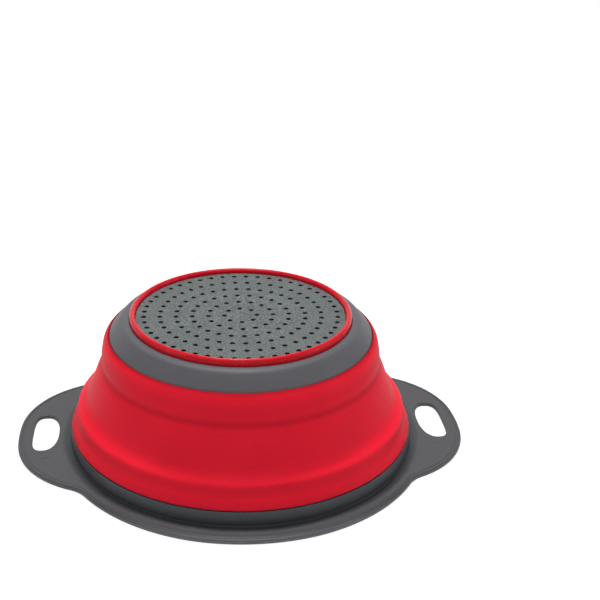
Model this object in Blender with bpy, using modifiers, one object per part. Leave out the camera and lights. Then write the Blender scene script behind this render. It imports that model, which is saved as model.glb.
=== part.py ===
"""Collapsible colander, upside down on its rim with its silicone wall raised.

Metres, +Z up. The origin is the centre of the rim's face, which rests on the surface, and X runs
through both handles. Heights are measured from that face, so the strainer plate is at the top.
"""

import math

import bmesh
import bpy

# Rim frame: a flat flange with a short collar and two handles, in one moulding
rim_radius = 0.1200
flange_thickness = 0.0030
flange_edge_round = 0.0011
flange_round_points = 3
flange_width = 0.0126
mouth_border = 0.0104
mouth_points = 3
collar_height = 0.0107
collar_draft = 0.0018
collar_wall = 0.0032
collar_fillet = 0.0012
tongue_thickness = 0.0008
tongue_height = 0.0020

# Handles: a tip concentric with the rim, round corners, and necks that sweep back into the rim
handle_length = 0.0190
handle_tip_half_angle = math.radians(5.5)
handle_corner_radius = 0.0590
handle_neck_radius = 0.0220
handle_steps = 24
rim_steps = 14

# Grip slots: a squarish oval between the collar and the tip, whose ends lean outwards
slot_inner_border = 0.0073
slot_outer_border = 0.0089
slot_half_length = 0.0221
slot_bow = 0.0013
slot_squareness = 2.6
slot_points = 28

# Silicone wall: the outer surface has a ridge and a valley, which are the two fold lines
wall_thickness = 0.0020
hinge_thickness = 0.0011
hinge_taper = 0.0030
wall_foot_inset = 0.0006
wall_foot_round = 0.0007
wall_flare_inset = 0.0018
wall_flare_height_share = 0.36
wall_waist_inset = 0.0034
wall_waist_height_share = 0.70
ridge_inset = 0.0045
ridge_height = 0.0235
valley_drop = 0.0168
valley_flare = 0.0016

# Fold band: a steady cone from the valley that flares out to the ridge like a bell
fold_flare = 0.0038
fold_flare_power = 4
fold_height_shares = (0, 0.3, 0.55, 0.75, 0.9, 1)

# Lip: the wall's upper edge, round the base cup
lip_width = 0.0030
lip_round = 0.0014
lip_points = 3

# Strainer plate: rings of holes one pitch apart, with eight more holes in each ring
raised_height = 0.0846
plate_radius = 0.0627
plate_thickness = 0.0020
plate_border = 0.0025
hole_pitch = 0.00978
hole_radius = 0.00135
holes_per_ring = 8
hole_points = 8

# Foot ring: the soft bead that the colander stands on in use
ring_width = 0.0046
ring_stand = 0.0033
ring_land_width = 0.0012
ring_points = 4

# Base cup: the seat under the plate, the round shoulder and the skirt inside the silicone
seat_ledge = 0.0019
seat_thickness = 0.0018
shoulder_land = 0.0007
shoulder_drop = 0.0008
shoulder_width = 0.0123
shoulder_rise = 0.0093
shoulder_wall = 0.0020
shoulder_points = 6
lip_drop = 0.0014
skirt_depth = 0.0085
skirt_thickness = 0.0017

# Pieces that touch keep this much room, and a cutter runs this far past what it cuts
fit_gap = 0.0003
cut_overrun = 0.0020

# Turned pieces
turn_steps = 52
merge_distance = 0.0001
smooth_angle = math.radians(35)

# The rim's places, from its edge inwards
collar_foot_radius = rim_radius - flange_width
collar_top_radius = collar_foot_radius - collar_draft
collar_inner_radius = collar_top_radius - collar_wall
mouth_radius = rim_radius - mouth_border
handle_reach = rim_radius + handle_length
wall_foot_radius = collar_top_radius - wall_foot_inset
ridge_radius = wall_foot_radius - ridge_inset

# The base's places, from the plate outwards and from the top down
ring_inner_radius = plate_radius + fit_gap
ring_outer_radius = ring_inner_radius + ring_width
shoulder_top_radius = ring_outer_radius + shoulder_land
shoulder_foot_radius = shoulder_top_radius + shoulder_width
lip_radius = shoulder_foot_radius + fit_gap + lip_width
valley_radius = lip_radius + valley_flare
plate_height = raised_height - ring_stand
seat_height = plate_height - plate_thickness - fit_gap
shoulder_top_height = plate_height - shoulder_drop
shoulder_foot_height = shoulder_top_height - shoulder_rise
lip_height = shoulder_foot_height - lip_drop
skirt_foot_height = lip_height - skirt_depth
valley_height = lip_height - valley_drop

# Colours
plastic_grey = (0.090, 0.094, 0.104, 1)
plate_grey = (0.105, 0.109, 0.118, 1)
silicone_red = (0.600, 0.014, 0.026, 1)
plastic_roughness = 0.55
plate_roughness = 0.62
silicone_roughness = 0.48


def clear_scene():
    """Remove what the scene starts with."""
    for item in list(bpy.data.objects):
        bpy.data.objects.remove(item, do_unlink=True)


def new_collection(name):
    """Add a collection to the scene."""
    collection = bpy.data.collections.new(name)
    bpy.context.scene.collection.children.link(collection)
    return collection


def new_material(name, colour, roughness):
    """A plain material, one for each piece."""
    material = bpy.data.materials.new(name)
    material.use_nodes = True
    shader = material.node_tree.nodes["Principled BSDF"]
    shader.inputs["Base Color"].default_value = colour
    shader.inputs["Roughness"].default_value = roughness
    shader.inputs["Metallic"].default_value = 0
    material.diffuse_color = colour
    return material


def add_piece(name, mesh, colour, roughness, height):
    """Put a mesh in the colander's collection as a named piece at its height."""
    mesh.name = name
    mesh.materials.clear()
    mesh.materials.append(new_material(name + "_material", colour, roughness))
    mesh.shade_smooth()
    mesh.set_sharp_from_angle(angle=smooth_angle)
    piece = bpy.data.objects.new(name, mesh)
    piece.location.z = height
    colander.objects.link(piece)
    return piece


def mesh_of(source):
    """Turn an object with its modifiers, or a curve, into a mesh and remove the object."""
    graph = bpy.context.evaluated_depsgraph_get()
    mesh = bpy.data.meshes.new_from_object(source.evaluated_get(graph))
    bpy.data.objects.remove(source, do_unlink=True)
    shape = bmesh.new()
    shape.from_mesh(mesh)
    bmesh.ops.remove_doubles(shape, verts=shape.verts, dist=merge_distance)
    shape.to_mesh(mesh)
    shape.free()
    return mesh


def turned_piece(name, profile, colour, roughness):
    """Turn a closed profile of radius and height about Z. It runs down its outer side."""
    foot = min(height for radius, height in profile)
    corners = [(radius, 0, height - foot) for radius, height in profile]
    edges = [(index, (index + 1) % len(corners)) for index in range(len(corners))]
    mesh = bpy.data.meshes.new(name + "_profile")
    mesh.from_pydata(corners, edges, [])
    source = bpy.data.objects.new(name + "_profile", mesh)
    colander.objects.link(source)
    screw = source.modifiers.new("Turn", "SCREW")
    screw.axis = "Z"
    screw.angle = math.tau
    screw.steps = turn_steps
    screw.render_steps = turn_steps
    screw.use_merge_vertices = True
    screw.merge_threshold = merge_distance
    return add_piece(name, mesh_of(source), colour, roughness, foot)


def flat_shape(name, outlines, thickness):
    """A flat plate between its outlines, with its middle at Z zero: the first is its edge."""
    curve = bpy.data.curves.new(name, "CURVE")
    curve.dimensions = "2D"
    curve.fill_mode = "BOTH"
    curve.extrude = thickness / 2
    for outline in outlines:
        spline = curve.splines.new("POLY")
        spline.points.add(len(outline) - 1)
        for point, (across, along) in zip(spline.points, outline):
            point.co = (across, along, 0, 1)
        spline.use_cyclic_u = True
    source = bpy.data.objects.new(name, curve)
    cutters.objects.link(source)
    return mesh_of(source)


def circle_points(centre_x, centre_y, radius, count, start=0):
    """Points round a circle."""
    turns = [start + math.tau * index / count for index in range(count)]
    return [(centre_x + radius * math.cos(turn), centre_y + radius * math.sin(turn)) for turn in turns]


def arc_points(centre_r, centre_z, reach_r, reach_z, start, end, count):
    """Points on a quarter oval in a profile, by angle from straight up towards the outside."""
    angles = [start + (end - start) * index / (count - 1) for index in range(count)]
    return [(centre_r + reach_r * math.sin(angle), centre_z + reach_z * math.cos(angle))
            for angle in angles]


def handle_geometry():
    """The corner circle, the neck circle and the directions where the outline's arcs meet."""
    corner_distance = handle_reach - handle_corner_radius
    neck_distance = rim_radius + handle_neck_radius
    apart = handle_corner_radius + handle_neck_radius
    sweep = math.acos((corner_distance ** 2 + neck_distance ** 2 - apart ** 2)
                      / (2 * corner_distance * neck_distance))
    neck_angle = handle_tip_half_angle + sweep
    share = handle_corner_radius / apart
    meet_x = (corner_distance * math.cos(handle_tip_half_angle) * (1 - share)
              + neck_distance * math.cos(neck_angle) * share)
    meet_y = (corner_distance * math.sin(handle_tip_half_angle) * (1 - share)
              + neck_distance * math.sin(neck_angle) * share)
    return corner_distance, neck_distance, neck_angle, math.atan2(meet_y, meet_x)


def edge_radius(turn):
    """How far the rim or a handle reaches from the centre in one direction."""
    corner_distance, neck_distance, neck_angle, meet_angle = handle_geometry()
    angle = abs(math.remainder(turn, math.pi))
    if angle <= handle_tip_half_angle:
        return handle_reach
    if angle <= meet_angle:
        offset = angle - handle_tip_half_angle
        half_chord = math.sqrt(handle_corner_radius ** 2 - (corner_distance * math.sin(offset)) ** 2)
        return corner_distance * math.cos(offset) + half_chord
    if angle < neck_angle:
        offset = neck_angle - angle
        half_chord = math.sqrt(handle_neck_radius ** 2 - (neck_distance * math.sin(offset)) ** 2)
        return neck_distance * math.cos(offset) - half_chord
    return rim_radius


def rim_turns():
    """Directions of the rim's sections: close together on the handles, further apart between."""
    neck_angle = handle_geometry()[2]
    handle_turn = 2 * neck_angle / handle_steps
    rim_turn = (math.pi - 2 * neck_angle) / rim_steps
    turns = []
    for side in (0, math.pi):
        turns += [side - neck_angle + handle_turn * index for index in range(handle_steps)]
        turns += [side + neck_angle + rim_turn * index for index in range(rim_steps)]
    return turns


def rim_section(turn):
    """The rim's cross-section in one direction, down its outer side and back up its inner side."""
    edge = edge_radius(turn)
    tongue_top = collar_height + tongue_height
    tongue_outer = collar_inner_radius + tongue_thickness
    corner = edge - flange_edge_round
    top_edge = arc_points(corner, flange_thickness - flange_edge_round,
                          flange_edge_round, flange_edge_round, 0, math.pi / 2, flange_round_points)
    bottom_edge = [(radius, flange_thickness - height) for radius, height in reversed(top_edge)]
    mouth_round = mouth_radius - collar_inner_radius
    mouth = arc_points(mouth_radius, mouth_round, -mouth_round, -mouth_round, 0, math.pi / 2, mouth_points)
    return [
        (collar_inner_radius, tongue_top),
        (tongue_outer, tongue_top),
        (tongue_outer, collar_height),
        (collar_top_radius, collar_height),
        (collar_foot_radius, flange_thickness + collar_fillet),
        (collar_foot_radius + collar_fillet, flange_thickness),
        *top_edge,
        *bottom_edge,
        *mouth,
    ]


def lofted_ring(sections):
    """A closed ring through a loop of like-numbered cross-sections."""
    shape = bmesh.new()
    rows = [[shape.verts.new(corner) for corner in section] for section in sections]
    for row, following in zip(rows, rows[1:] + rows[:1]):
        for index in range(len(row)):
            after = (index + 1) % len(row)
            shape.faces.new((row[index], row[after], following[after], following[index]))
    bmesh.ops.recalc_face_normals(shape, faces=shape.faces)
    mesh = bpy.data.meshes.new("ring")
    shape.to_mesh(mesh)
    shape.free()
    return mesh


def slot_outline(side):
    """The grip slot's outline on the handle at one side."""
    inner = collar_foot_radius + slot_inner_border
    outer = handle_reach - slot_outer_border
    outline = []
    for index in range(slot_points):
        turn = math.tau * (index + 0.5) / slot_points
        across = math.copysign(abs(math.cos(turn)) ** (2 / slot_squareness), math.cos(turn))
        along = math.copysign(abs(math.sin(turn)) ** (2 / slot_squareness), math.sin(turn))
        reach = (inner + outer) / 2 + (outer - inner) / 2 * across + slot_bow * along ** 2
        outline.append((side * reach, side * slot_half_length * along))
    return outline


def add_rim_frame():
    """The rim with its collar and handles, and the slots cut through the handles."""
    sections = []
    for turn in rim_turns():
        section = rim_section(turn)
        sections.append([(radius * math.cos(turn), radius * math.sin(turn), height)
                         for radius, height in section])
    rim = add_piece("rim_frame", lofted_ring(sections), plastic_grey, plastic_roughness, 0)
    for side, name in ((-1, "left_slot_cutter"), (1, "right_slot_cutter")):
        mesh = flat_shape(name, [slot_outline(side)], flange_thickness + 2 * cut_overrun)
        cutter = bpy.data.objects.new(name, mesh)
        cutter.location.z = flange_thickness / 2
        cutter.hide_render = True
        cutter.display_type = "WIRE"
        cutters.objects.link(cutter)
        cut = rim.modifiers.new(name, "BOOLEAN")
        cut.operation = "DIFFERENCE"
        cut.solver = "EXACT"
        cut.object = cutter
    return rim


def add_wall_rim_band():
    """The silicone from the collar up to the ridge, lapped outside the collar's tongue."""
    foot = collar_height + fit_gap
    lap_radius = collar_inner_radius + tongue_thickness + fit_gap
    lap_top = collar_height + tongue_height + fit_gap
    top = ridge_height - fit_gap / 2
    flare_radius = wall_foot_radius - wall_flare_inset
    flare_height = foot + (top - foot) * wall_flare_height_share
    waist_radius = wall_foot_radius - wall_waist_inset
    waist_height = foot + (top - foot) * wall_waist_height_share
    profile = [
        (ridge_radius, top),
        (waist_radius, waist_height),
        (flare_radius, flare_height),
        (wall_foot_radius, foot + wall_foot_round),
        (wall_foot_radius - wall_foot_round / 2, foot),
        (lap_radius, foot),
        (lap_radius, lap_top),
        (collar_inner_radius, lap_top),
        (flare_radius - wall_thickness, flare_height + wall_thickness / 2),
        (waist_radius - wall_thickness, waist_height),
        (ridge_radius - hinge_thickness, top),
    ]
    return turned_piece("wall_rim_band", profile, silicone_red, silicone_roughness)


def add_wall_fold_band():
    """The silicone between the ridge and the valley, which turns inside out to collapse."""
    top = valley_height - fit_gap / 2
    foot = ridge_height + fit_gap / 2
    outside = []
    inside = []
    for share in fold_height_shares:
        steady = (ridge_radius - fold_flare - valley_radius) * share
        radius = valley_radius + steady + fold_flare * share ** fold_flare_power
        height = top + (foot - top) * share
        from_hinge = min(top - height, height - foot)
        full_share = min(1, from_hinge / hinge_taper)
        thickness = hinge_thickness + (wall_thickness - hinge_thickness) * full_share
        outside.append((radius, height))
        inside.append((radius - thickness, height))
    return turned_piece("wall_fold_band", outside + inside[::-1], silicone_red, silicone_roughness)


def add_wall_base_band():
    """The silicone from the valley up to the lip, gripping the base cup's skirt."""
    foot = valley_height + fit_gap / 2
    skirt_outer = shoulder_foot_radius + fit_gap
    grip_top = skirt_foot_height - fit_gap
    grip_inner = shoulder_foot_radius - skirt_thickness
    grip_foot = grip_top - wall_thickness
    lip = arc_points(lip_radius - lip_round, lip_height - lip_round / 2, lip_round, lip_round,
                     0, math.pi / 2, lip_points)
    profile = [
        (skirt_outer, lip_height + lip_round / 2),
        *lip,
        (valley_radius, foot),
        (valley_radius - hinge_thickness, foot),
        (valley_radius - wall_thickness - fit_gap, foot + hinge_taper),
        (grip_inner, grip_foot),
        (grip_inner, grip_top),
        (skirt_outer, grip_top),
    ]
    return turned_piece("wall_base_band", profile, silicone_red, silicone_roughness)


def add_base_cup():
    """The grey cup: a seat for the plate and ring, a round shoulder and a skirt."""
    seat_inner_radius = plate_radius - seat_ledge
    ring_wall = ring_outer_radius + fit_gap
    underside = seat_height - seat_thickness
    outer_reach = shoulder_foot_radius - shoulder_top_radius
    outer_rise = shoulder_top_height - shoulder_foot_height
    outside = arc_points(shoulder_top_radius, shoulder_foot_height, outer_reach, outer_rise,
                         0, math.pi / 2, shoulder_points)
    inside = arc_points(shoulder_top_radius, shoulder_foot_height, outer_reach - shoulder_wall,
                        underside - shoulder_foot_height, math.pi / 2, 0, shoulder_points - 1)
    profile = [
        (seat_inner_radius, seat_height),
        (ring_wall, seat_height),
        (ring_wall, shoulder_top_height - fit_gap),
        *outside,
        (shoulder_foot_radius, skirt_foot_height),
        (shoulder_foot_radius - skirt_thickness, skirt_foot_height),
        *inside,
        (seat_inner_radius, underside),
    ]
    return turned_piece("base_cup", profile, plastic_grey, plastic_roughness)


def add_strainer_plate():
    """The flat plate with its rings of holes."""
    outlines = [circle_points(0, 0, plate_radius, turn_steps)]
    hole_rings = int((plate_radius - plate_border) / hole_pitch)
    for ring in range(1, hole_rings + 1):
        for centre in circle_points(0, 0, ring * hole_pitch, ring * holes_per_ring):
            outlines.append(circle_points(*centre, hole_radius, hole_points))
    mesh = flat_shape("strainer_plate", outlines, plate_thickness)
    middle = plate_height - plate_thickness / 2
    return add_piece("strainer_plate", mesh, plate_grey, plate_roughness, middle)


def add_foot_ring():
    """The soft bead set in the groove round the plate."""
    half_width = (ring_outer_radius - ring_inner_radius) / 2
    land = ring_land_width / 2
    side = half_width - land
    crown_foot = raised_height - side
    outer = arc_points(ring_outer_radius - side, crown_foot, side, side, 0, math.pi / 2, ring_points)
    inner = arc_points(ring_inner_radius + side, crown_foot, -side, side, math.pi / 2, 0, ring_points)
    foot = seat_height + fit_gap
    profile = [
        *outer,
        (ring_outer_radius, foot),
        (ring_inner_radius, foot),
        *inner,
    ]
    return turned_piece("foot_ring", profile, silicone_red, silicone_roughness)


clear_scene()
colander = new_collection("Collapsible colander")
cutters = new_collection("Cutters")
add_rim_frame()
add_wall_rim_band()
add_wall_fold_band()
base_slide = bpy.data.objects.new("base_slide", None)
colander.objects.link(base_slide)
for base_piece in (add_wall_base_band(), add_base_cup(), add_strainer_plate(), add_foot_ring()):
    base_piece.parent = base_slide
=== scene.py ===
"""Looks of the collapsible colander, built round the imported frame. Metres, +Z up."""

import math

import bmesh
import bpy
import numpy as np
from mathutils import Matrix, Vector
from mathutils.geometry import delaunay_2d_cdt


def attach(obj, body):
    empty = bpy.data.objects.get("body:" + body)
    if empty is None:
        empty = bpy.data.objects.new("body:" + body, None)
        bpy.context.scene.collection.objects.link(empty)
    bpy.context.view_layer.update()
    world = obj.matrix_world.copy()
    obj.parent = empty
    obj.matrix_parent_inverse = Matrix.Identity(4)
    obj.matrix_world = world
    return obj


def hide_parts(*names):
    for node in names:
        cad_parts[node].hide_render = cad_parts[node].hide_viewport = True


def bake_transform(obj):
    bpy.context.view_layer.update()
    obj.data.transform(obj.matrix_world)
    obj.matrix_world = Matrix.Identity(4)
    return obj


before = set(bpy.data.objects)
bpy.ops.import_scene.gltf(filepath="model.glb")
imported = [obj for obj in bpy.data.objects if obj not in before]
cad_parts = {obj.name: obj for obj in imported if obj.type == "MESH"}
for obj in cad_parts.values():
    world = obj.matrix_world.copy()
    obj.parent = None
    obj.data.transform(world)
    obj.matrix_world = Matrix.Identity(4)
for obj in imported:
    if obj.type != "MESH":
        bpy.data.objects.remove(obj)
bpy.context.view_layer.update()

# Camera, fitted to the photograph: where it looks from, and its lens and framing in pixels
image_width = 600
focal_pixels = 1112.94
centre_pixel_x = 240
sensor_width = 36
near_clip = 0.05
view_azimuth = math.radians(-4.19)
view_elevation = math.radians(24.1)
view_roll = math.radians(0.17)
view_distance = 0.70686
view_across = 0.00021
view_up = -0.08266

# Outline of the rim and its handles: each handle ends in two rounded corners and runs into the rim by necks
rim_radius = 0.1200
handle_reach = 0.1387
handle_tip_half_angle = math.radians(5)
handle_corner_radius = 0.0600
handle_neck_radius = 0.0220
neck_inset = 0.0029
neck_fade_angle = math.radians(76)
neck_fade_power = 1.5

# Grip slots: squarish ovals, bowed outwards and a little nearer the back
slot_inner = 0.1140
slot_outer = 0.1299
slot_half_length = 0.0209
slot_shift = 0.0012
slot_bow = 0.0013
slot_squareness = 2.6

# Edge of the flange, from its underside over the bead and its groove to the flat: distance in and height
flange_flat = 0.0027
flange_crown = 0.0030
edge_section = (
    (0.0013, 0),
    (0.0009, 0),
    (0.00040, 0.00012),
    (0.00012, 0.00040),
    (0, 0.0009),
    (0, 0.0019),
    (0.00010, 0.00240),
    (0.00035, 0.00276),
    (0.00075, 0.00295),
    (0.00115, flange_crown),
    (0.00155, 0.00296),
    (0.00185, 0.00278),
    (0.00208, 0.00248),
    (0.00235, 0.00230),
    (0.00265, 0.00232),
    (0.00295, 0.00250),
    (0.0033, 0.00266),
    (0.0038, flange_flat),
    (0.0046, flange_flat),
)

# Edge of a grip slot, from the flat down to the underside: distance into the slot and height
slot_section = (
    (-0.0013, flange_flat),
    (-0.0009, flange_flat),
    (-0.00048, 0.00258),
    (-0.00015, 0.00226),
    (0, 0.0018),
    (0, 0.0009),
    (-0.00012, 0.00040),
    (-0.00040, 0.00012),
    (-0.0009, 0),
    (-0.0013, 0),
)

# Faint round moulding mark on each handle: growth of its radius and depth
mark_radius = 0.0024
mark_depth = 0.00012
mark_places = ((-0.1195, -0.0305), (0.1195, -0.0300))
mark_section = (
    (0.0003, 0),
    (0.0001, 0),
    (0, mark_depth),
    (-0.0002, mark_depth),
)

# Radii at which the flange's flat has points for its painted shade, and how far out along X they go
flange_rings = (0.1132, 0.1140, 0.1147)
flange_ring_reach = 0.0720

# Collar, from the flat through a shallow channel and up its outer side: radius and height
flange_inner_radius = 0.1124
channel_radius = 0.1116
collar_foot_radius = 0.1060
collar_points = (
    (flange_inner_radius, flange_flat),
    (channel_radius, flange_flat),
    (0.1101, 0.00262),
    (0.1085, 0.00232),
    (0.1073, 0.00210),
    (0.1067, 0.00204),
    (0.1063, 0.00212),
    (0.1061, 0.00235),
    (collar_foot_radius, 0.0028),
    (0.1059, 0.0045),
    (0.1058, 0.0062),
)
collar_top_radius = 0.1055
collar_top_start = 84
collar_inner_radius = 0.1024
collar_height = 0.0107
tongue_outer_radius = 0.1032
tongue_top = 0.0127
mouth_radius = 0.1096
mouth_land = 0.0005
small_edge_round = 0.0003

# Silicone wall: its outer side from the lip down to the foot, by radius and height
lip_points = (
    (0.08000, 0.0704),
    (0.08008, 0.0708),
    (0.08030, 0.0709),
    (0.08060, 0.0708),
    (0.08140, 0.0700),
    (0.08230, 0.0689),
    (0.08310, 0.0674),
    (0.08365, 0.0655),
    (0.08400, 0.0635),
)
wall_points = (
    (0.08430, 0.0618),
    (0.08470, 0.0595),
    (0.08485, 0.0570),
    (0.08475, 0.0548),
    (0.08500, 0.0533),
    (0.08570, 0.0518),
    (0.08665, 0.0500),
    (0.08785, 0.0475),
    (0.08880, 0.0450),
    (0.09030, 0.0410),
    (0.09185, 0.0370),
    (0.09305, 0.0340),
    (0.09430, 0.0313),
    (0.09560, 0.0293),
    (0.09720, 0.0277),
    (0.09895, 0.0263),
    (0.10025, 0.0251),
    (0.10090, 0.0240),
    (0.10110, 0.0228),
    (0.10135, 0.0205),
    (0.10170, 0.0186),
    (0.10240, 0.0170),
    (0.10325, 0.0155),
    (0.10400, 0.0140),
    (0.10460, 0.0127),
)
lip_inner_points = 3
valley_height = 0.0528
ridge_height = 0.0235
foot_radius = 0.1051
foot_height = 0.0110
foot_round = 0.0009
wall_thickness = 0.0020
hinge_thickness = 0.0011
hinge_taper = 0.0035
fold_softness = 0.0006
soften_span = 3
wall_spacing = 0.0005
lap_radius = 0.1035
lap_top = 0.0130
cup_lip_radius = 0.0800
grip_radius = 0.0789
grip_top = 0.0610
grip_foot = 0.0590

# Base cup: the seat under the plate, then the shoulder by radius and height, and the skirt in the silicone
seat_inner_radius = 0.0608
seat_height = 0.0790
seat_underside = 0.0772
ring_wall_radius = 0.0674
shoulder_points = (
    (0.0677, 0.0803),
    (0.0700, 0.0801),
    (0.0714, 0.0797),
    (0.0726, 0.0790),
    (0.0736, 0.0780),
    (0.0754, 0.0760),
    (0.0770, 0.0742),
    (0.0784, 0.0725),
    (0.0795, 0.07115),
    (0.0798, 0.0705),
)
shoulder_softness = 0.0005
shoulder_wall = 0.0017
skirt_radius = 0.0798
skirt_foot_height = 0.0613
skirt_inner_radius = 0.0789

# Strainer plate: rings of round-edged holes, a little wider below
plate_top = 0.0813
plate_thickness = 0.0020
plate_radius = 0.0634
plate_dish = 0.0008
plate_land = 0.0006
hole_pitch = 0.00978
hole_radius = 0.00150
hole_rings = 6
holes_per_ring = 8
hole_round = 0.00015
hole_taper = 0.00045
hole_land_share = 1.6
hole_bevel_share = 0.3

# Edges of a hole and of the plate: growth of the radius and depth
hole_section = (
    (hole_round * hole_land_share, 0),
    (hole_round, 0),
    (hole_round * hole_bevel_share, hole_round * hole_bevel_share),
    (0, hole_round),
    (hole_taper, plate_thickness),
)
plate_edge_section = (
    (-plate_land, 0),
    (-hole_round, 0),
    (0, hole_round),
    (0, plate_thickness - hole_round),
    (-hole_round, plate_thickness),
)

# Foot ring: a squarish bead on straight sides
ring_inner_radius = 0.0636
ring_outer_radius = 0.0672
ring_foot = 0.0793
ring_crown = 0.0843
ring_squareness = 1.65

# Fineness of the meshes
turn_steps = 288
outline_turns = 2880
outline_steps = 1080
slot_turns = 720
slot_steps = 144
hole_sides = 20
mark_sides = 40
ring_steps = 33
foot_arc_steps = 9
edge_arc_steps = 5
mouth_arc_steps = 14
plate_first_points = 12
plate_more_points = 16
weld_distance = 1e-6
fill_tolerance = 1e-9
sharp_angle = math.radians(40)

# Stage: the floor and the backdrop. Bounce is how pale they are to light that comes off the object. What
# the camera sees of them is shade, which takes the object's shadow, plus glow
stage_size = 10
stage_planes = (
    ("floor", (0, 0, -0.0002), 0),
    ("backdrop", (0, 3, 2), math.radians(90)),
)
stage_bounce = 0.90
stage_shade = 0.30
stage_glow = 0.88

# Studio light: each softbox's place, size and power, and the point that all aim at
world_strength = 0.25
light_aim = (0, 0, 0.04)
lights = (
    ("key", (0.0, 0.48, 1.40), (0.12, 0.12), 10),
    ("top", (0.0, 0.0, 1.3), (0.9, 0.9), 6),
    ("front", (0.0, -1.3, 0.8), (1.2, 0.6), 1.1),
    ("low", (0.0, -1.5, 0.30), (1.8, 0.5), 0.5),
    ("left", (-1.3, -0.3, 0.5), (0.6, 0.6), 1.9),
    ("right", (1.3, -0.3, 0.5), (0.6, 0.6), 2.7),
)

# Painted light and shade on the wall, the collar and the rim's edge, by height: how much lighter or darker
# their colour is made
# Wall: painted shade in the valley, under the ridge, at the foot and along the lip's top edge, and painted
# highlights on the ridge and the lip
wall_painted_shading = (
    (0.0105, -0.12),
    (0.0130, -0.03),
    (0.0165, 0.08),
    (0.0190, 0.00),
    (0.0215, -0.05),
    (0.0240, 0.04),
    (0.0250, 0.18),
    (0.0262, 0.22),
    (0.0280, 0.09),
    (0.0310, 0.00),
    (0.0360, -0.02),
    (0.0490, 0.05),
    (0.0505, 0.05),
    (0.0532, -0.20),
    (0.0570, -0.03),
    (0.0640, 0.00),
    (0.0665, 0.12),
    (0.0685, 0.08),
    (0.0700, -0.12),
    (0.0709, -0.45),
)
# Collar: painted shade darkening it towards its foot, and painted light higher up
collar_painted_shading = (
    (0.0028, -0.40),
    (0.0045, -0.05),
    (0.0062, 0.25),
    (0.0080, 0.40),
    (0.0105, 0.15),
)
# Edges and underside of the rim, below its flat: a painted highlight
edge_painted_highlight = (
    (0.0000, 0.30),
    (0.0019, 0.30),
    (0.0027, 0.00),
)

# The same by radius: painted shadow in the channel and, added to it, painted shade over the whole flange
# with a painted highlight near its outer edge
channel_painted_shadow = (
    (0.1061, -0.50),
    (0.1073, -0.50),
    (0.1085, -0.46),
    (0.1101, -0.38),
    (0.1116, -0.14),
)
# Flange, in front and behind: painted shade across the flat and a painted highlight along the outer edge
flange_painted_shading = (
    (0.1061, 0.00),
    (0.1073, -0.05),
    (0.1085, -0.16),
    (0.1101, -0.26),
    (0.1116, -0.20),
    (0.1124, -0.08),
    (0.1132, -0.02),
    (0.1140, -0.10),
    (0.1147, -0.24),
    (0.1154, -0.28),
    (0.1176, -0.34),
    (0.1182, -0.10),
    (0.1188, 0.10),
    (0.1192, 0.45),
    (0.1201, 0.45),
)

# Where painted light and shade hold: between two radii, and fading out between two distances along X. The
# first two limits here are wider than the part, and the flange's painted shade fades towards the handles
whole_piece = (0, 1)
no_fade = (1, 2)
flange_shading_fade = (0.085, 0.100)
painted_light_overlap = 0.00005

# How far each colour of light goes into the silicone
glow_radius = (1.0, 0.12, 0.10)
glow_scale = 0.003

# Patterns that the materials share: cloudy colour, mottling coarser than the grain, and pale specks in
# patches. Painted shade: steep places, whose normal points up by less than the limits below, are made
# darker
noise_detail = 2.0
cloud_detail = 3.0
cloud_limits = (0.3, 0.7)
mottle_coarseness = 3
roughness_variation = 0.04
speck_detail = 1.0
speck_scale = 900
speck_limits = (0.66, 0.73)
speck_colour = (0.5, 0.5, 0.5)
patch_scale = 60
patch_limits = (0.4, 0.7)
steep_shade_limits = (0.4, 0.9)
steep_shade_darkness = 0.1

# Each material's colour and finish. Scales are the noise's, per metre, and heights are those of its bumps
finishes = {
    "silicone_red": {
        "colour": (0.800, 0.014, 0.034),
        "specular": 0.05,
        "roughness": 0.50,
        "variation": 0.035,
        "grain_scale": 1300,
        "grain_height": 0.00001,
        "wave_scale": 45,
        "wave_height": 0.00012,
        "glow_through": 0.2,
    },
    "ring_red": {
        "colour": (0.690, 0.009, 0.022),
        "specular": 0.16,
        "roughness": 0.25,
        "variation": 0.035,
        "grain_scale": 1300,
        "grain_height": 0.00001,
        "wave_scale": 90,
        "wave_height": 0.00008,
        "glow_through": 0.2,
        # Painted shade on the ring's steep sides
        "painted_steep_shade": 0.12,
    },
    "plastic_grey": {
        "colour": (0.065, 0.069, 0.075),
        "specular": 0.35,
        "roughness": 0.50,
        "variation": 0.10,
        "grain_scale": 2600,
        "grain_height": 0.00002,
        "wave_scale": 60,
        "wave_height": 0.00005,
    },
    "cup_grey": {
        "colour": (0.106, 0.106, 0.117),
        "specular": 0.30,
        "roughness": 0.50,
        "variation": 0.05,
        "grain_scale": 1700,
        "grain_height": 0.00002,
        "wave_scale": 60,
        "wave_height": 0.00005,
    },
    "plate_grey": {
        "colour": (0.118, 0.136, 0.134),
        "specular": 0.30,
        "roughness": 0.60,
        "variation": 0.70,
        "grain_scale": 3000,
        "grain_height": 0.00005,
        "wave_scale": 80,
        "wave_height": 0.00004,
        "specks": 0.8,
        # Painted shade on the hole walls and other steep faces
        "painted_steep_shade": 0.85,
        "mottling": 0.85,
    },
}


def smooth_mesh(name, vertices, faces):
    """A mesh object with smooth faces and sharp edges where it turns hard."""
    mesh = bpy.data.meshes.new(name)
    mesh.from_pydata([tuple(v) for v in vertices], [], [tuple(f) for f in faces])
    shape = bmesh.new()
    shape.from_mesh(mesh)
    bmesh.ops.remove_doubles(shape, verts=shape.verts, dist=weld_distance)
    bmesh.ops.recalc_face_normals(shape, faces=shape.faces)
    shape.to_mesh(mesh)
    shape.free()
    mesh.shade_smooth()
    mesh.set_sharp_from_angle(angle=sharp_angle)
    piece = bpy.data.objects.new(name, mesh)
    bpy.context.scene.collection.objects.link(piece)
    return piece


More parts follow.
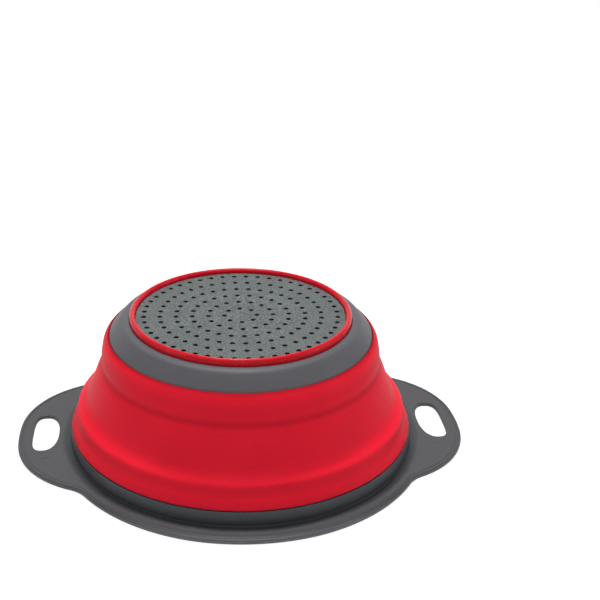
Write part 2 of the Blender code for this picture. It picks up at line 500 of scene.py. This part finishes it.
def arc(centre_r, centre_z, radius, start, end, count):
    """Points on part of a circle, by angle from straight up towards the outside, in degrees."""
    angles = np.radians(np.linspace(start, end, count))
    return [(centre_r + radius * math.sin(a), centre_z + radius * math.cos(a)) for a in angles]


def turned(name, profile):
    """A closed profile of radius and height, turned about Z."""
    profile = np.array(profile)
    turns = np.linspace(0, math.tau, turn_steps, endpoint=False)
    vertices = np.concatenate([
        np.c_[profile[:, 0] * math.cos(t), profile[:, 0] * math.sin(t), profile[:, 1]] for t in turns])
    count = len(profile)
    faces = []
    for step in range(turn_steps):
        here = step * count
        there = (step + 1) % turn_steps * count
        for index in range(count):
            after = (index + 1) % count
            faces.append((here + index, here + after, there + after, there + index))
    return smooth_mesh(name, vertices, faces)


def resample(points):
    """Points along a line at even spacing."""
    points = np.array(points)
    along = np.r_[0, np.cumsum(np.hypot(*np.diff(points, axis=0).T))]
    places = np.linspace(0, along[-1], int(along[-1] / wall_spacing) + 1)
    return np.c_[np.interp(places, along, points[:, 0]), np.interp(places, along, points[:, 1])]


def soften(points, reach):
    """Round a line's corners, over about this reach on each side, and keep its ends."""
    width = int(soften_span * reach / wall_spacing)
    steps = np.arange(-width, width + 1) * wall_spacing
    weights = np.exp(-0.5 * (steps / reach) ** 2)
    weights /= weights.sum()
    first, last = points[0], points[-1]
    before = 2 * first - points[width:0:-1]
    after = 2 * last - points[-2:-width - 2:-1]
    padded = np.concatenate([before, points, after])
    return np.c_[np.convolve(padded[:, 0], weights, "valid"), np.convolve(padded[:, 1], weights, "valid")]


def inward(line):
    """Directions square to a line that runs down and outwards, pointing in."""
    tangent = np.gradient(line, axis=0)
    tangent /= np.hypot(*tangent.T)[:, None]
    return np.c_[tangent[:, 1], -tangent[:, 0]]


def wall_profile():
    """The silicone wall's section: down its outer side and back up its inner side."""
    outer = [*lip_points[lip_inner_points:], *wall_points, (foot_radius, foot_height + foot_round)]
    outer = soften(resample(outer), fold_softness)
    from_hinge = np.minimum(abs(outer[:, 1] - valley_height), abs(outer[:, 1] - ridge_height))
    share = np.clip(from_hinge / hinge_taper, 0, 1)
    share = share * share * (3 - 2 * share)
    thickness = hinge_thickness + (wall_thickness - hinge_thickness) * share
    inner = outer + inward(outer) * thickness[:, None]
    below_grip = inner[:, 1] < grip_foot - wall_thickness
    above_lap = inner[:, 1] > lap_top + wall_thickness
    inner = inner[below_grip & above_lap][::-1]
    foot = arc(foot_radius - foot_round, foot_height + foot_round, foot_round, 90, 180, foot_arc_steps)[1:]
    return [
        *lip_points[:lip_inner_points],
        *outer,
        *foot,
        (lap_radius, foot_height),
        (lap_radius, lap_top),
        (collar_inner_radius, lap_top),
        *inner,
        (grip_radius, grip_foot),
        (grip_radius, grip_top),
        (cup_lip_radius, grip_top),
    ]


def cup_profile():
    """The base cup's section: seat, shoulder, skirt and underside."""
    edge = small_edge_round
    top = shoulder_points[0][1]
    shoulder = soften(resample(shoulder_points), shoulder_softness)
    inside = shoulder + inward(shoulder) * shoulder_wall
    inside = inside[(inside[:, 0] < skirt_inner_radius) & (inside[:, 1] < seat_underside)][::-1]
    return [
        (seat_inner_radius, seat_height),
        (ring_wall_radius, seat_height),
        (ring_wall_radius, top - edge),
        *arc(ring_wall_radius + edge, top - edge, edge, -90, 0, edge_arc_steps)[1:],
        *shoulder[1:],
        (skirt_radius, skirt_foot_height),
        (skirt_inner_radius, skirt_foot_height),
        *inside,
        (seat_inner_radius, seat_underside),
    ]


def ring_profile():
    """The foot ring's section, with its squarish bead."""
    half_width = (ring_outer_radius - ring_inner_radius) / 2
    centre = (ring_outer_radius + ring_inner_radius) / 2
    shoulder = ring_crown - half_width
    bead = []
    for angle in np.radians(np.linspace(90, -90, ring_steps)):
        across = math.copysign(abs(math.sin(angle)) ** (2 / ring_squareness), math.sin(angle))
        up = abs(math.cos(angle)) ** (2 / ring_squareness)
        bead.append((centre + half_width * across, shoulder + half_width * up))
    return [(ring_outer_radius, ring_foot), (ring_inner_radius, ring_foot), *bead[::-1]]


def rim_edge(turn):
    """How far the rim or a handle reaches in one direction."""
    corner_distance = handle_reach - handle_corner_radius
    neck_distance = rim_radius - neck_inset + handle_neck_radius
    apart = handle_corner_radius + handle_neck_radius
    sweep = math.acos((corner_distance ** 2 + neck_distance ** 2 - apart ** 2)
                      / (2 * corner_distance * neck_distance))
    neck_angle = handle_tip_half_angle + sweep
    share = handle_corner_radius / apart
    corner = np.array((math.cos(handle_tip_half_angle), math.sin(handle_tip_half_angle))) * corner_distance
    neck = np.array((math.cos(neck_angle), math.sin(neck_angle))) * neck_distance
    meet = corner * (1 - share) + neck * share
    angle = abs(math.remainder(turn, math.pi))
    if angle <= handle_tip_half_angle:
        return handle_reach
    if angle <= math.atan2(meet[1], meet[0]):
        offset = angle - handle_tip_half_angle
        half_chord = math.sqrt(handle_corner_radius ** 2 - (corner_distance * math.sin(offset)) ** 2)
        return corner_distance * math.cos(offset) + half_chord
    if angle < neck_angle:
        offset = neck_angle - angle
        half_chord = math.sqrt(handle_neck_radius ** 2 - (neck_distance * math.sin(offset)) ** 2)
        return neck_distance * math.cos(offset) - half_chord
    fade = max(0, (neck_fade_angle - angle) / (neck_fade_angle - neck_angle))
    return rim_radius - neck_inset * fade ** neck_fade_power


def even_loop(points, count):
    """A closed line's points at even spacing."""
    closed = np.concatenate([points, points[:1]])
    along = np.r_[0, np.cumsum(np.hypot(*np.diff(closed, axis=0).T))]
    places = np.linspace(0, along[-1], count, endpoint=False)
    return np.c_[np.interp(places, along, closed[:, 0]), np.interp(places, along, closed[:, 1])]


def loop_normals(points):
    """Directions square to a closed line that runs anticlockwise, pointing out."""
    ahead = np.roll(points, -1, axis=0) - np.roll(points, 1, axis=0)
    ahead /= np.hypot(*ahead.T)[:, None]
    return np.c_[ahead[:, 1], -ahead[:, 0]]


def rim_outline():
    """The outline of the rim with its handles."""
    turns = np.linspace(0, math.tau, outline_turns, endpoint=False)
    points = np.array([(rim_edge(t) * math.cos(t), rim_edge(t) * math.sin(t)) for t in turns])
    return even_loop(points, outline_steps)


def slot_outline(side):
    """The outline of the grip slot on one side, -1 or 1."""
    turns = np.linspace(0, math.tau, slot_turns, endpoint=False)
    across = np.copysign(abs(np.cos(turns)) ** (2 / slot_squareness), np.cos(turns))
    along = np.copysign(abs(np.sin(turns)) ** (2 / slot_squareness), np.sin(turns))
    reach = (slot_inner + slot_outer) / 2 + (slot_outer - slot_inner) / 2 * across + slot_bow * along ** 2
    return even_loop(np.c_[side * reach, side * slot_half_length * along + slot_shift], slot_steps)


def circle_loop(radius, count, centre=(0, 0)):
    """Points round a circle."""
    turns = np.linspace(0, math.tau, count, endpoint=False)
    return np.c_[centre[0] + radius * np.cos(turns), centre[1] + radius * np.sin(turns)]


class Skin:
    """A mesh in the making, as vertices and faces."""

    def __init__(self):
        self.vertices = []
        self.faces = []

    def add_loop(self, points, height):
        """Add a loop of points at one height, or at their own heights, and return their numbers."""
        first = len(self.vertices)
        heights = np.broadcast_to(height, len(points))
        self.vertices += [(x, y, z) for (x, y), z in zip(points, heights)]
        return list(range(first, len(self.vertices)))

    def bridge(self, one, other):
        """Quads between two loops of as many points."""
        for index in range(len(one)):
            after = (index + 1) % len(one)
            self.faces.append((one[index], one[after], other[after], other[index]))

    def strip(self, loops):
        """Bridge each loop with the next."""
        for one, other in zip(loops, loops[1:]):
            self.bridge(one, other)

    def fill(self, outer, holes, inside=()):
        """Triangles between an outer loop and its holes, with further points inside."""
        numbers = []
        edges = []
        for loop in (outer, *holes):
            first = len(numbers)
            numbers += loop
            edges += [(first + i, first + (i + 1) % len(loop)) for i in range(len(loop))]
        numbers += inside
        flat = np.array([self.vertices[n][:2] for n in numbers])
        found = delaunay_2d_cdt([Vector(p) for p in flat], edges, [], 1, fill_tolerance)
        source = np.array([origins[0] for origins in found[3]])
        triangles = source[np.array(found[2])]
        middles = flat[triangles].mean(axis=1)
        crossings = np.zeros(len(middles), dtype=int)
        for start, end in edges:
            (x0, y0), (x1, y1) = flat[start], flat[end]
            beside = (y0 > middles[:, 1]) != (y1 > middles[:, 1])
            where = x0 + (middles[beside, 1] - y0) * (x1 - x0) / (y1 - y0) if beside.any() else 0
            crossings[beside] += where > middles[beside, 0]
        self.faces += [tuple(numbers[i] for i in t) for t in triangles[crossings % 2 == 1]]


def edge_loops(skin, outline, section):
    """Loops along an outline, each a step inwards from it, at its own height."""
    outward = loop_normals(outline)
    return [skin.add_loop(outline - outward * inset, height) for inset, height in section]


def collar_profile():
    """The collar's section: channel, outer side, top, tongue and the rounded mouth."""
    edge = small_edge_round
    mouth_round = mouth_radius - collar_inner_radius
    return [
        *collar_points,
        *arc(collar_top_radius - edge, collar_height - edge, edge, collar_top_start, 0, edge_arc_steps),
        (tongue_outer_radius, collar_height),
        (tongue_outer_radius, tongue_top),
        (collar_inner_radius, tongue_top),
        *arc(mouth_radius, mouth_round, -mouth_round, 90, 0, mouth_arc_steps),
        (mouth_radius + mouth_land, 0),
    ]


def add_rim_moulding():
    """The rim frame: flange with its raised bead, handles, slots with round edges, and collar."""
    skin = Skin()
    bead = edge_loops(skin, rim_outline(), edge_section)
    skin.strip(bead)
    slots = [edge_loops(skin, slot_outline(side), slot_section) for side in (-1, 1)]
    for loops in slots:
        skin.strip(loops)
    collar = [skin.add_loop(circle_loop(r, turn_steps), z) for r, z in collar_profile()]
    skin.strip(collar)
    marks = []
    for place in mark_places:
        step = [skin.add_loop(circle_loop(mark_radius + grow, mark_sides, place), flange_flat - drop)
                for grow, drop in mark_section]
        skin.strip(step)
        skin.faces.append(tuple(step[-1]))
        marks.append(step[0])
    inside = []
    for radius in flange_rings:
        ring = circle_loop(radius, turn_steps)
        inside += skin.add_loop(ring[np.abs(ring[:, 0]) < flange_ring_reach], flange_flat)
    skin.fill(bead[-1], [collar[0], slots[0][0], slots[1][0], *marks], inside)
    skin.fill(bead[0], [collar[-1], slots[0][-1], slots[1][-1]])
    return smooth_mesh("rim_moulding", skin.vertices, skin.faces)


def plate_heights(points, depth):
    """Heights on the plate at a depth under its top, which is dished a little."""
    share = np.clip((points ** 2).sum(axis=1) / plate_radius ** 2, 0, 1)
    return plate_top - depth - plate_dish * (1 - share)


def add_strainer_disc():
    """The strainer plate, dished a little, with round-edged holes."""
    skin = Skin()
    holes = []
    for ring in range(1, hole_rings + 1):
        for turn in np.linspace(0, math.tau, ring * holes_per_ring, endpoint=False):
            holes.append((ring * hole_pitch * math.cos(turn), ring * hole_pitch * math.sin(turn)))
    top_loops = []
    under_loops = []
    for place in holes:
        loops = []
        for grow, depth in hole_section:
            loop = circle_loop(hole_radius + grow, hole_sides, place)
            loops.append(skin.add_loop(loop, plate_heights(loop, depth)))
        skin.strip(loops)
        top_loops.append(loops[0])
        under_loops.append(loops[-1])
    edge = []
    for grow, depth in plate_edge_section:
        loop = circle_loop(plate_radius + grow, turn_steps)
        edge.append(skin.add_loop(loop, plate_heights(loop, depth)))
    skin.strip(edge)
    between = []
    for ring in range(hole_rings + 1):
        radius = (ring + 0.5) * hole_pitch
        if radius < plate_radius - hole_pitch / 4:
            between.append(circle_loop(radius, plate_first_points + plate_more_points * ring))
    for depth, outer, around in ((0, edge[0], top_loops), (plate_thickness, edge[-1], under_loops)):
        inside = []
        for loop in between:
            inside += skin.add_loop(loop, plate_heights(loop, depth))
        skin.fill(outer, around, inside)
    return smooth_mesh("strainer_disc", skin.vertices, skin.faces)


def new_nodes(name):
    """A new material, its nodes and its links."""
    material = bpy.data.materials.new(name)
    material.use_nodes = True
    return material, material.node_tree.nodes, material.node_tree.links


def noise(nodes, links, scale, detail=noise_detail):
    """Noise over the object's own coordinates."""
    coordinates = nodes.get("Coordinates")
    if coordinates is None:
        coordinates = nodes.new("ShaderNodeTexCoord")
        coordinates.name = "Coordinates"
    texture = nodes.new("ShaderNodeTexNoise")
    texture.inputs["Scale"].default_value = scale
    texture.inputs["Detail"].default_value = detail
    links.new(coordinates.outputs["Object"], texture.inputs["Vector"])
    return texture.outputs["Fac"]


def spread(nodes, links, value, limits, to_low, to_high):
    """Map a value between limits to another range."""
    scale = nodes.new("ShaderNodeMapRange")
    scale.inputs["From Min"].default_value = limits[0]
    scale.inputs["From Max"].default_value = limits[1]
    scale.inputs["To Min"].default_value = to_low
    scale.inputs["To Max"].default_value = to_high
    links.new(value, scale.inputs["Value"])
    return scale.outputs["Result"]


def combined(nodes, links, operation, one, other, clamp=False):
    """Two values added or multiplied."""
    join = nodes.new("ShaderNodeMath")
    join.operation = operation
    join.use_clamp = clamp
    links.new(one, join.inputs[0])
    links.new(other, join.inputs[1])
    return join.outputs["Value"]


def mixed(nodes, links, factor, first, second):
    """A colour between two, by a factor. Each is a plain colour or a node's output."""
    mix = nodes.new("ShaderNodeMix")
    mix.data_type = "RGBA"
    links.new(factor, mix.inputs["Factor"])
    for socket, colour in (("A", first), ("B", second)):
        if isinstance(colour, tuple):
            mix.inputs[socket].default_value = (*colour, 1)
        else:
            links.new(colour, mix.inputs[socket])
    return mix.outputs["Result"]


def shaded(colour, share):
    """A plain colour made darker or lighter."""
    return tuple(channel * share for channel in colour)


def bumped(nodes, links, value, height):
    """A bump by a value, up to this height."""
    bump = nodes.new("ShaderNodeBump")
    bump.inputs["Strength"].default_value = 1
    bump.inputs["Distance"].default_value = height
    links.new(value, bump.inputs["Height"])
    return bump


def add_painted_light(piece, painted_table, by_radius=False, between=whole_piece, fade=no_fade):
    """Note painted light or shade on each vertex: how much lighter or darker its colour is made, by its
    height or its radius.
    """
    places = np.array([v.co for v in piece.data.vertices])
    radii = np.hypot(places[:, 0], places[:, 1])
    change = np.interp(radii if by_radius else places[:, 2], *zip(*painted_table))
    change *= np.interp(np.abs(places[:, 0]), fade, (1, 0))
    change[(radii < between[0]) | (radii > between[1])] = 0
    layer = piece.data.attributes.get("painted_light") or piece.data.attributes.new("painted_light", "FLOAT", "POINT")
    before = np.zeros(len(change))
    layer.data.foreach_get("value", before)
    layer.data.foreach_set("value", before + change)


def with_painted_light(nodes, links, tint):
    """A colour times 1 plus the painted light or shade noted on the mesh."""
    painted_light = nodes.new("ShaderNodeAttribute")
    painted_light.attribute_name = "painted_light"
    scale = nodes.new("ShaderNodeVectorMath")
    scale.operation = "SCALE"
    links.new(tint, scale.inputs[0])
    links.new(spread(nodes, links, painted_light.outputs["Fac"], (-1, 1), 0, 2), scale.inputs["Scale"])
    return scale.outputs["Vector"]


def moulded_material(name, colour, specular, roughness, variation, grain_scale, grain_height,
                     wave_scale, wave_height, specks=0.0, glow_through=0.0, painted_steep_shade=0.0, mottling=0.4):
    """Moulded plastic or silicone: cloudy colour, fine grain, slow waves and a few light specks, with
    painted light and shade from the mesh and painted shade on steep faces.
    """
    material, nodes, links = new_nodes(name)
    shader = nodes["Principled BSDF"]
    shader.inputs["Specular IOR Level"].default_value = specular
    if glow_through:
        shader.inputs["Subsurface Weight"].default_value = glow_through
        shader.inputs["Subsurface Radius"].default_value = glow_radius
        shader.inputs["Subsurface Scale"].default_value = glow_scale
    clouds = noise(nodes, links, wave_scale, cloud_detail)
    mottle = noise(nodes, links, grain_scale / mottle_coarseness)
    both = combined(nodes, links, "ADD",
                    spread(nodes, links, clouds, cloud_limits, 0, 1 - mottling),
                    spread(nodes, links, mottle, cloud_limits, 0, mottling))
    tint = mixed(nodes, links, both, shaded(colour, 1 - variation), shaded(colour, 1 + variation))
    if specks:
        dust = noise(nodes, links, speck_scale, speck_detail)
        patch = noise(nodes, links, patch_scale, speck_detail)
        chosen = combined(nodes, links, "MULTIPLY",
                          spread(nodes, links, dust, speck_limits, 0, 1),
                          spread(nodes, links, patch, patch_limits, 0, specks))
        tint = mixed(nodes, links, chosen, tint, speck_colour)
    # Painted light and shade, as noted on the mesh
    tint = with_painted_light(nodes, links, tint)
    # Painted shade: steep faces, such as the hole walls and the ring's sides, are made darker
    if painted_steep_shade:
        split = nodes.new("ShaderNodeSeparateXYZ")
        links.new(nodes.new("ShaderNodeNewGeometry").outputs["Normal"], split.inputs["Vector"])
        steep_shade_share = spread(nodes, links, split.outputs["Z"], steep_shade_limits, painted_steep_shade, 0)
        tint = mixed(nodes, links, steep_shade_share, tint, shaded(colour, steep_shade_darkness))
    links.new(tint, shader.inputs["Base Color"])
    links.new(spread(nodes, links, clouds, cloud_limits, roughness - roughness_variation,
                     roughness + roughness_variation), shader.inputs["Roughness"])
    grain = bumped(nodes, links, noise(nodes, links, grain_scale), grain_height)
    waves = bumped(nodes, links, clouds, wave_height)
    links.new(grain.outputs["Normal"], waves.inputs["Normal"])
    links.new(waves.outputs["Normal"], shader.inputs["Normal"])
    return material


def stage_white(name):
    """White to the camera and in reflections, with a soft shadow, and pale to other light."""
    material, nodes, links = new_nodes(name)
    nodes.remove(nodes["Principled BSDF"])
    rays = nodes.new("ShaderNodeLightPath")
    seen = combined(nodes, links, "ADD", rays.outputs["Is Camera Ray"], rays.outputs["Is Glossy Ray"])
    either = combined(nodes, links, "ADD", seen, rays.outputs["Is Transmission Ray"], clamp=True)
    lit = nodes.new("ShaderNodeBsdfDiffuse")
    lit.inputs["Color"].default_value = (stage_bounce, stage_bounce, stage_bounce, 1)
    shadow = nodes.new("ShaderNodeBsdfDiffuse")
    shadow.inputs["Color"].default_value = (stage_shade, stage_shade, stage_shade, 1)
    glow = nodes.new("ShaderNodeEmission")
    glow.inputs["Strength"].default_value = stage_glow
    white = nodes.new("ShaderNodeAddShader")
    links.new(shadow.outputs["BSDF"], white.inputs[0])
    links.new(glow.outputs["Emission"], white.inputs[1])
    choice = nodes.new("ShaderNodeMixShader")
    links.new(either, choice.inputs["Fac"])
    links.new(lit.outputs["BSDF"], choice.inputs[1])
    links.new(white.outputs["Shader"], choice.inputs[2])
    links.new(choice.outputs["Shader"], nodes["Material Output"].inputs["Surface"])
    return material


def add_stage():
    """A pale floor and a backdrop behind the object."""
    white = stage_white("stage_white")
    for name, place, turn in stage_planes:
        bpy.ops.mesh.primitive_plane_add(size=stage_size, location=place, rotation=(turn, 0, 0))
        plane = bpy.context.object
        plane.name = name
        plane.data.materials.append(white)


def add_world():
    """White behind the object for the camera, and a dimmer even light on it."""
    world = bpy.data.worlds.new("studio")
    bpy.context.scene.world = world
    world.use_nodes = True
    nodes = world.node_tree.nodes
    links = world.node_tree.links
    background = nodes["Background"]
    background.inputs["Color"].default_value = (1, 1, 1, 1)
    rays = nodes.new("ShaderNodeLightPath")
    links.new(spread(nodes, links, rays.outputs["Is Camera Ray"], (0, 1), world_strength, 1),
              background.inputs["Strength"])


def add_softbox(name, place, size, power):
    """An oblong area light aimed at the object."""
    light = bpy.data.lights.new(name, "AREA")
    light.shape = "RECTANGLE"
    light.size, light.size_y = size
    light.energy = power
    lamp = bpy.data.objects.new(name, light)
    lamp.location = place
    lamp.rotation_euler = (Vector(light_aim) - Vector(place)).to_track_quat("-Z", "Y").to_euler()
    bpy.context.scene.collection.objects.link(lamp)


def add_camera():
    """The photograph's view of the object."""
    back = Vector((math.sin(view_azimuth) * math.cos(view_elevation),
                   -math.cos(view_azimuth) * math.cos(view_elevation), math.sin(view_elevation)))
    level = Vector((math.cos(view_azimuth), math.sin(view_azimuth), 0))
    upright = back.cross(level)
    right = level * math.cos(view_roll) + upright * math.sin(view_roll)
    up = upright * math.cos(view_roll) - level * math.sin(view_roll)
    place = back * view_distance - right * view_across - up * view_up
    camera = bpy.data.objects.new("camera", bpy.data.cameras.new("camera"))
    camera.data.sensor_width = sensor_width
    camera.data.lens = focal_pixels / image_width * sensor_width
    camera.data.shift_x = 0.5 - centre_pixel_x / image_width
    camera.data.clip_start = near_clip
    camera.matrix_world = Matrix((
        (right.x, up.x, back.x, place.x),
        (right.y, up.y, back.y, place.y),
        (right.z, up.z, back.z, place.z),
        (0, 0, 0, 1)))
    bpy.context.scene.collection.objects.link(camera)
    bpy.context.scene.camera = camera


add_camera()
materials = {name: moulded_material(name, **finish) for name, finish in finishes.items()}

rim = add_rim_moulding()
# Painted shade on the collar and in the channel, painted shade and highlight on the flange, painted
# highlight on the edges
collar_limit = collar_foot_radius + painted_light_overlap
part_limit = whole_piece[1]
add_painted_light(rim, collar_painted_shading, between=(collar_inner_radius, collar_limit))
add_painted_light(rim, channel_painted_shadow, by_radius=True, between=(collar_limit, channel_radius))
add_painted_light(rim, flange_painted_shading, by_radius=True, between=(collar_limit, part_limit), fade=flange_shading_fade)
add_painted_light(rim, edge_painted_highlight, between=(channel_radius, part_limit))
rim.data.materials.append(materials["plastic_grey"])
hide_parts("rim_frame")
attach(rim, "rim")

cup = turned("cup_moulding", cup_profile())
cup.data.materials.append(materials["cup_grey"])
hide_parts("base_cup")
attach(cup, "base")

disc = add_strainer_disc()
disc.data.materials.append(materials["plate_grey"])
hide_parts("strainer_plate")
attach(disc, "base")

bead = turned("ring_bead", ring_profile())
bead.data.materials.append(materials["ring_red"])
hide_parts("foot_ring")
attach(bead, "base")

wall = turned("silicone_wall", wall_profile())
# Painted shade and highlights on the wall
add_painted_light(wall, wall_painted_shading)
wall.data.materials.append(materials["silicone_red"])
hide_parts("wall_rim_band", "wall_fold_band", "wall_base_band")
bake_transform(wall)

add_stage()
add_world()
for name, place, size, power in lights:
    add_softbox(name, place, size, power)

bpy.context.scene.view_settings.view_transform = "Standard"
